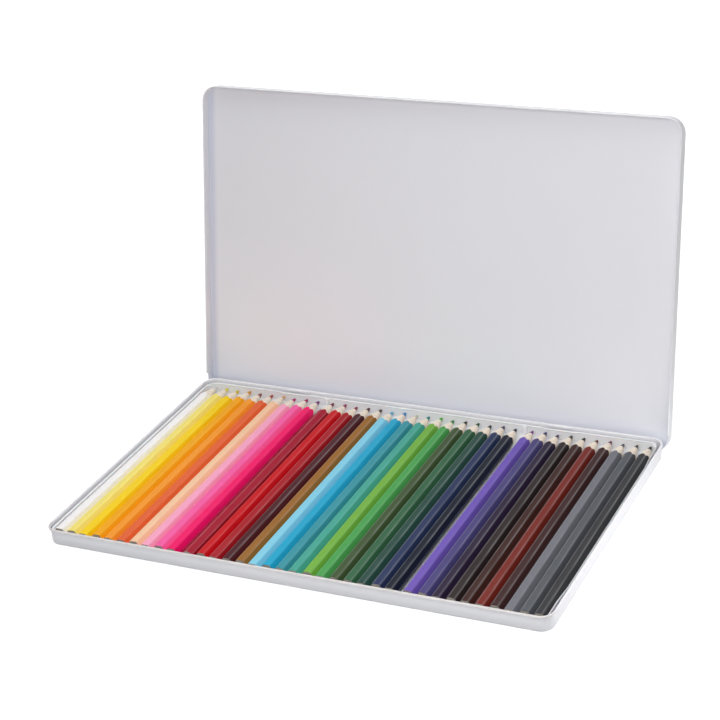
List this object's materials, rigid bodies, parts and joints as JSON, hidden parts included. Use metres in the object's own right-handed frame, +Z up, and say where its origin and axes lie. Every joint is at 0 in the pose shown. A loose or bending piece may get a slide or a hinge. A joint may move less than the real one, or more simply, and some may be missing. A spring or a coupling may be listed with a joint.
{
  "type": "coloured pencil tin",
  "caption": "Flat hinged tinplate case, shown open, with a moulded liner and one layer of sharpened hexagonal coloured pencils lying side by side.",
  "frame": {"origin": "centre of the tray's underside, on the surface that the tin stands on", "axes": "+X along the row of pencils to the right as seen from the front, +Y from the front to the hinged rear, +Z up"},
  "size_m": [0.3002, 0.2357, 0.1872],
  "materials": {
    "tin_enamel": "glossy white stoving enamel on tinplate, inside and out",
    "liner_plastic": "thin white vacuum-formed plastic",
    "paint_white": "satin white lacquer on cedar, bare wood at the sharpened cone, coloured lead",
    "paint_lemon": "satin lemon lacquer on cedar, bare wood at the sharpened cone, coloured lead",
    "paint_yellow": "satin yellow lacquer on cedar, bare wood at the sharpened cone, coloured lead",
    "paint_amber": "satin amber lacquer on cedar, bare wood at the sharpened cone, coloured lead",
    "paint_orange": "satin orange lacquer on cedar, bare wood at the sharpened cone, coloured lead",
    "paint_vermilion": "satin vermilion lacquer on cedar, bare wood at the sharpened cone, coloured lead",
    "paint_peach": "satin peach lacquer on cedar, bare wood at the sharpened cone, coloured lead",
    "paint_rose": "satin rose lacquer on cedar, bare wood at the sharpened cone, coloured lead",
    "paint_pink": "satin pink lacquer on cedar, bare wood at the sharpened cone, coloured lead",
    "paint_magenta": "satin magenta lacquer on cedar, bare wood at the sharpened cone, coloured lead",
    "paint_crimson": "satin crimson lacquer on cedar, bare wood at the sharpened cone, coloured lead",
    "paint_red": "satin red lacquer on cedar, bare wood at the sharpened cone, coloured lead",
    "paint_brick": "satin brick lacquer on cedar, bare wood at the sharpened cone, coloured lead",
    "paint_plum": "satin plum lacquer on cedar, bare wood at the sharpened cone, coloured lead",
    "paint_ochre": "satin ochre lacquer on cedar, bare wood at the sharpened cone, coloured lead",
    "paint_sky": "satin sky lacquer on cedar, bare wood at the sharpened cone, coloured lead",
    "paint_azure": "satin azure lacquer on cedar, bare wood at the sharpened cone, coloured lead",
    "paint_cerulean": "satin cerulean lacquer on cedar, bare wood at the sharpened cone, coloured lead",
    "paint_turquoise": "satin turquoise lacquer on cedar, bare wood at the sharpened cone, coloured lead",
    "paint_lime": "satin lime lacquer on cedar, bare wood at the sharpened cone, coloured lead",
    "paint_green": "satin green lacquer on cedar, bare wood at the sharpened cone, coloured lead",
    "paint_olive": "satin olive lacquer on cedar, bare wood at the sharpened cone, coloured lead",
    "paint_forest": "satin forest lacquer on cedar, bare wood at the sharpened cone, coloured lead",
    "paint_spruce": "satin spruce lacquer on cedar, bare wood at the sharpened cone, coloured lead",
    "paint_navy": "satin navy lacquer on cedar, bare wood at the sharpened cone, coloured lead",
    "paint_midnight": "satin midnight lacquer on cedar, bare wood at the sharpened cone, coloured lead",
    "paint_violet": "satin violet lacquer on cedar, bare wood at the sharpened cone, coloured lead",
    "paint_indigo": "satin indigo lacquer on cedar, bare wood at the sharpened cone, coloured lead",
    "paint_aubergine": "satin aubergine lacquer on cedar, bare wood at the sharpened cone, coloured lead",
    "paint_sepia": "satin sepia lacquer on cedar, bare wood at the sharpened cone, coloured lead",
    "paint_umber": "satin umber lacquer on cedar, bare wood at the sharpened cone, coloured lead",
    "paint_chestnut": "satin chestnut lacquer on cedar, bare wood at the sharpened cone, coloured lead",
    "paint_maroon": "satin maroon lacquer on cedar, bare wood at the sharpened cone, coloured lead",
    "paint_grey": "satin grey lacquer on cedar, bare wood at the sharpened cone, coloured lead",
    "paint_slate": "satin slate lacquer on cedar, bare wood at the sharpened cone, coloured lead",
    "paint_black": "satin black lacquer on cedar, bare wood at the sharpened cone, coloured lead"
  },
  "bodies": {
    "tray": {"tray": "tin_enamel", "liner": "liner_plastic"},
    "lid": {"lid": "tin_enamel"},
    "pencil_01_white": {"pencil_01_white": "paint_white"},
    "pencil_02_lemon": {"pencil_02_lemon": "paint_lemon"},
    "pencil_03_yellow": {"pencil_03_yellow": "paint_yellow"},
    "pencil_04_amber": {"pencil_04_amber": "paint_amber"},
    "pencil_05_orange": {"pencil_05_orange": "paint_orange"},
    "pencil_06_vermilion": {"pencil_06_vermilion": "paint_vermilion"},
    "pencil_07_peach": {"pencil_07_peach": "paint_peach"},
    "pencil_08_rose": {"pencil_08_rose": "paint_rose"},
    "pencil_09_pink": {"pencil_09_pink": "paint_pink"},
    "pencil_10_magenta": {"pencil_10_magenta": "paint_magenta"},
    "pencil_11_crimson": {"pencil_11_crimson": "paint_crimson"},
    "pencil_12_red": {"pencil_12_red": "paint_red"},
    "pencil_13_brick": {"pencil_13_brick": "paint_brick"},
    "pencil_14_plum": {"pencil_14_plum": "paint_plum"},
    "pencil_15_ochre": {"pencil_15_ochre": "paint_ochre"},
    "pencil_16_sky": {"pencil_16_sky": "paint_sky"},
    "pencil_17_azure": {"pencil_17_azure": "paint_azure"},
    "pencil_18_cerulean": {"pencil_18_cerulean": "paint_cerulean"},
    "pencil_19_turquoise": {"pencil_19_turquoise": "paint_turquoise"},
    "pencil_20_lime": {"pencil_20_lime": "paint_lime"},
    "pencil_21_green": {"pencil_21_green": "paint_green"},
    "pencil_22_olive": {"pencil_22_olive": "paint_olive"},
    "pencil_23_forest": {"pencil_23_forest": "paint_forest"},
    "pencil_24_spruce": {"pencil_24_spruce": "paint_spruce"},
    "pencil_25_navy": {"pencil_25_navy": "paint_navy"},
    "pencil_26_midnight": {"pencil_26_midnight": "paint_midnight"},
    "pencil_27_violet": {"pencil_27_violet": "paint_violet"},
    "pencil_28_indigo": {"pencil_28_indigo": "paint_indigo"},
    "pencil_29_aubergine": {"pencil_29_aubergine": "paint_aubergine"},
    "pencil_30_sepia": {"pencil_30_sepia": "paint_sepia"},
    "pencil_31_umber": {"pencil_31_umber": "paint_umber"},
    "pencil_32_chestnut": {"pencil_32_chestnut": "paint_chestnut"},
    "pencil_33_maroon": {"pencil_33_maroon": "paint_maroon"},
    "pencil_34_grey": {"pencil_34_grey": "paint_grey"},
    "pencil_35_slate": {"pencil_35_slate": "paint_slate"},
    "pencil_36_black": {"pencil_36_black": "paint_black"}
  },
  "joints": [
    {"name": "lid_hinge", "type": "hinge", "parent": "tray", "child": "lid", "pos_m": [0, 0.09291, 0.00371], "axis": [-1, 0, 0], "range_deg": [-103, 0]},
    {"name": "lift_01_white", "type": "slide", "parent": "tray", "child": "pencil_01_white", "axis": [0, 0, 1], "range_m": [0, 0.04]},
    {"name": "lift_02_lemon", "type": "slide", "parent": "tray", "child": "pencil_02_lemon", "axis": [0, 0, 1], "range_m": [0, 0.04]},
    {"name": "lift_03_yellow", "type": "slide", "parent": "tray", "child": "pencil_03_yellow", "axis": [0, 0, 1], "range_m": [0, 0.04]},
    {"name": "lift_04_amber", "type": "slide", "parent": "tray", "child": "pencil_04_amber", "axis": [0, 0, 1], "range_m": [0, 0.04]},
    {"name": "lift_05_orange", "type": "slide", "parent": "tray", "child": "pencil_05_orange", "axis": [0, 0, 1], "range_m": [0, 0.04]},
    {"name": "lift_06_vermilion", "type": "slide", "parent": "tray", "child": "pencil_06_vermilion", "axis": [0, 0, 1], "range_m": [0, 0.04]},
    {"name": "lift_07_peach", "type": "slide", "parent": "tray", "child": "pencil_07_peach", "axis": [0, 0, 1], "range_m": [0, 0.04]},
    {"name": "lift_08_rose", "type": "slide", "parent": "tray", "child": "pencil_08_rose", "axis": [0, 0, 1], "range_m": [0, 0.04]},
    {"name": "lift_09_pink", "type": "slide", "parent": "tray", "child": "pencil_09_pink", "axis": [0, 0, 1], "range_m": [0, 0.04]},
    {"name": "lift_10_magenta", "type": "slide", "parent": "tray", "child": "pencil_10_magenta", "axis": [0, 0, 1], "range_m": [0, 0.04]},
    {"name": "lift_11_crimson", "type": "slide", "parent": "tray", "child": "pencil_11_crimson", "axis": [0, 0, 1], "range_m": [0, 0.04]},
    {"name": "lift_12_red", "type": "slide", "parent": "tray", "child": "pencil_12_red", "axis": [0, 0, 1], "range_m": [0, 0.04]},
    {"name": "lift_13_brick", "type": "slide", "parent": "tray", "child": "pencil_13_brick", "axis": [0, 0, 1], "range_m": [0, 0.04]},
    {"name": "lift_14_plum", "type": "slide", "parent": "tray", "child": "pencil_14_plum", "axis": [0, 0, 1], "range_m": [0, 0.04]},
    {"name": "lift_15_ochre", "type": "slide", "parent": "tray", "child": "pencil_15_ochre", "axis": [0, 0, 1], "range_m": [0, 0.04]},
    {"name": "lift_16_sky", "type": "slide", "parent": "tray", "child": "pencil_16_sky", "axis": [0, 0, 1], "range_m": [0, 0.04]},
    {"name": "lift_17_azure", "type": "slide", "parent": "tray", "child": "pencil_17_azure", "axis": [0, 0, 1], "range_m": [0, 0.04]},
    {"name": "lift_18_cerulean", "type": "slide", "parent": "tray", "child": "pencil_18_cerulean", "axis": [0, 0, 1], "range_m": [0, 0.04]},
    {"name": "lift_19_turquoise", "type": "slide", "parent": "tray", "child": "pencil_19_turquoise", "axis": [0, 0, 1], "range_m": [0, 0.04]},
    {"name": "lift_20_lime", "type": "slide", "parent": "tray", "child": "pencil_20_lime", "axis": [0, 0, 1], "range_m": [0, 0.04]},
    {"name": "lift_21_green", "type": "slide", "parent": "tray", "child": "pencil_21_green", "axis": [0, 0, 1], "range_m": [0, 0.04]},
    {"name": "lift_22_olive", "type": "slide", "parent": "tray", "child": "pencil_22_olive", "axis": [0, 0, 1], "range_m": [0, 0.04]},
    {"name": "lift_23_forest", "type": "slide", "parent": "tray", "child": "pencil_23_forest", "axis": [0, 0, 1], "range_m": [0, 0.04]},
    {"name": "lift_24_spruce", "type": "slide", "parent": "tray", "child": "pencil_24_spruce", "axis": [0, 0, 1], "range_m": [0, 0.04]},
    {"name": "lift_25_navy", "type": "slide", "parent": "tray", "child": "pencil_25_navy", "axis": [0, 0, 1], "range_m": [0, 0.04]},
    {"name": "lift_26_midnight", "type": "slide", "parent": "tray", "child": "pencil_26_midnight", "axis": [0, 0, 1], "range_m": [0, 0.04]},
    {"name": "lift_27_violet", "type": "slide", "parent": "tray", "child": "pencil_27_violet", "axis": [0, 0, 1], "range_m": [0, 0.04]},
    {"name": "lift_28_indigo", "type": "slide", "parent": "tray", "child": "pencil_28_indigo", "axis": [0, 0, 1], "range_m": [0, 0.04]},
    {"name": "lift_29_aubergine", "type": "slide", "parent": "tray", "child": "pencil_29_aubergine", "axis": [0, 0, 1], "range_m": [0, 0.04]},
    {"name": "lift_30_sepia", "type": "slide", "parent": "tray", "child": "pencil_30_sepia", "axis": [0, 0, 1], "range_m": [0, 0.04]},
    {"name": "lift_31_umber", "type": "slide", "parent": "tray", "child": "pencil_31_umber", "axis": [0, 0, 1], "range_m": [0, 0.04]},
    {"name": "lift_32_chestnut", "type": "slide", "parent": "tray", "child": "pencil_32_chestnut", "axis": [0, 0, 1], "range_m": [0, 0.04]},
    {"name": "lift_33_maroon", "type": "slide", "parent": "tray", "child": "pencil_33_maroon", "axis": [0, 0, 1], "range_m": [0, 0.04]},
    {"name": "lift_34_grey", "type": "slide", "parent": "tray", "child": "pencil_34_grey", "axis": [0, 0, 1], "range_m": [0, 0.04]},
    {"name": "lift_35_slate", "type": "slide", "parent": "tray", "child": "pencil_35_slate", "axis": [0, 0, 1], "range_m": [0, 0.04]},
    {"name": "lift_36_black", "type": "slide", "parent": "tray", "child": "pencil_36_black", "axis": [0, 0, 1], "range_m": [0, 0.04]}
  ]
}
